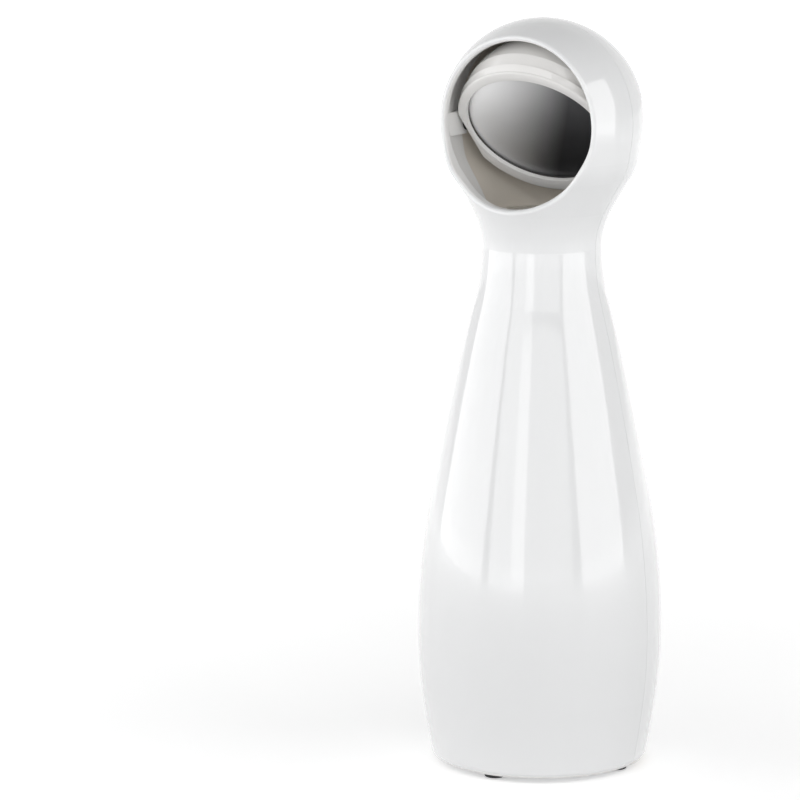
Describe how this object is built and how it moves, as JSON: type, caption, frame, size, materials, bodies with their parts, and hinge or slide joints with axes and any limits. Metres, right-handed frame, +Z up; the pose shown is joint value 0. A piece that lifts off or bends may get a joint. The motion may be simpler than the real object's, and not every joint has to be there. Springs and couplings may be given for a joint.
{
  "type": "automatic cat laser toy",
  "caption": "Free-standing bowling-pin-shaped toy that throws a moving laser dot: ball-shaped mirror pod in a round head opening, steered laser in the neck, cells in the base.",
  "frame": {"origin": "middle of the underside, where the rubber feet stand", "axes": "+Z up along the housing; the head opening and the mirror face -Y; the mirror pod tilts about X; the controls are at +Y"},
  "size_m": [0.077, 0.077, 0.235],
  "materials": {
    "housing_white": "gloss white, smooth",
    "pod_white": "gloss white, smooth",
    "control_grey": "matt grey",
    "base_grey": "fine matt texture",
    "inner_plastic": "matt black",
    "gear_plastic": "natural, slightly waxy",
    "black_rubber": "matt",
    "mirror_glass": "silvered",
    "clear_window": "clear",
    "steel": "zinc plated",
    "spring_steel": "nickel plated",
    "brass": "turned",
    "board_green": "solder mask",
    "black_parts": "matt",
    "cell_wrap": "satin sleeve"
  },
  "bodies": {
    "housing": {"front_shell": "housing_white", "rear_shell": "housing_white", "shell_screws": "steel", "base_plate": "base_grey", "base_screws": "steel", "rubber_feet": "black_rubber", "battery_holder": "inner_plastic", "battery_cell_1": "cell_wrap", "battery_cell_2": "cell_wrap", "battery_cell_3": "cell_wrap", "battery_cell_4": "cell_wrap", "top_springs": "spring_steel", "top_contacts": "spring_steel", "beam_deck": "inner_plastic", "laser_window": "clear_window", "drive_frame": "inner_plastic", "tilt_motor": "steel", "main_board": "board_green", "board_parts": "black_parts", "tact_switch": "black_parts", "mode_switch": "black_parts", "board_screws": "steel"},
    "door": {"battery_door": "base_grey", "door_springs": "spring_steel", "door_contacts": "spring_steel"},
    "coin_screw": {"door_screw": "steel", "door_screw_clip": "steel"},
    "pod": {"mirror_dome": "pod_white", "mirror_bezel": "pod_white", "mirror": "mirror_glass", "mirror_gasket": "black_rubber", "pivot_washers": "black_rubber"},
    "yoke": {"gimbal_yoke": "gear_plastic", "tilt_pins": "steel", "pan_motor": "steel"},
    "laser": {"laser_holder": "gear_plastic", "laser_barrel": "brass", "laser_lens": "clear_window", "laser_diode": "brass", "laser_board": "board_green", "pan_pins": "steel"},
    "tilt_drive": {"tilt_pinion": "gear_plastic", "tilt_motor_shaft": "steel"},
    "pan_drive": {"pan_pinion": "gear_plastic", "pan_motor_shaft": "steel"},
    "power_button": {"power_button": "control_grey", "tact_plunger": "black_parts"},
    "mode_slider": {"mode_slider": "control_grey", "mode_lever": "black_parts"}
  },
  "joints": [
    {"name": "pod_tilt", "type": "hinge", "parent": "housing", "child": "pod", "pos_m": [0, 0, 0.20105], "axis": [1, 0, 0], "range_deg": [-15, 30]},
    {"name": "door_pull", "type": "slide", "parent": "housing", "child": "door", "axis": [0, 0, -1], "range_m": [0, 0.03]},
    {"name": "coin_screw_turn", "type": "hinge", "parent": "door", "child": "coin_screw", "pos_m": [0, 0, 0.004], "axis": [0, 0, 1], "continuous": true},
    {"name": "yoke_tilt", "type": "hinge", "parent": "housing", "child": "yoke", "pos_m": [0, 0, 0.118], "axis": [1, 0, 0], "range_deg": [-7, 7]},
    {"name": "tilt_pinion_turn", "type": "hinge", "parent": "housing", "child": "tilt_drive", "pos_m": [0.01, 0, 0.1036], "axis": [1, 0, 0], "range_deg": [-22, 22]},
    {"name": "laser_swing", "type": "hinge", "parent": "yoke", "child": "laser", "pos_m": [0, 0, 0.118], "axis": [0, 1, 0], "range_deg": [-7, 7]},
    {"name": "pan_pinion_turn", "type": "hinge", "parent": "yoke", "child": "pan_drive", "pos_m": [-0.0144, 0, 0.118], "axis": [0, 1, 0], "range_deg": [-22, 22]},
    {"name": "power_press", "type": "slide", "parent": "housing", "child": "power_button", "axis": [0, -1, 0], "range_m": [0, 0.0005], "stiffness_N_per_m": 400},
    {"name": "mode_slide", "type": "slide", "parent": "housing", "child": "mode_slider", "axis": [1, 0, 0], "range_m": [0, 0.004]}
  ],
  "couplings": [
    {"joint": "tilt_pinion_turn", "follows": "yoke_tilt", "ratio": -3},
    {"joint": "pan_pinion_turn", "follows": "laser_swing", "ratio": -3}
  ]
}
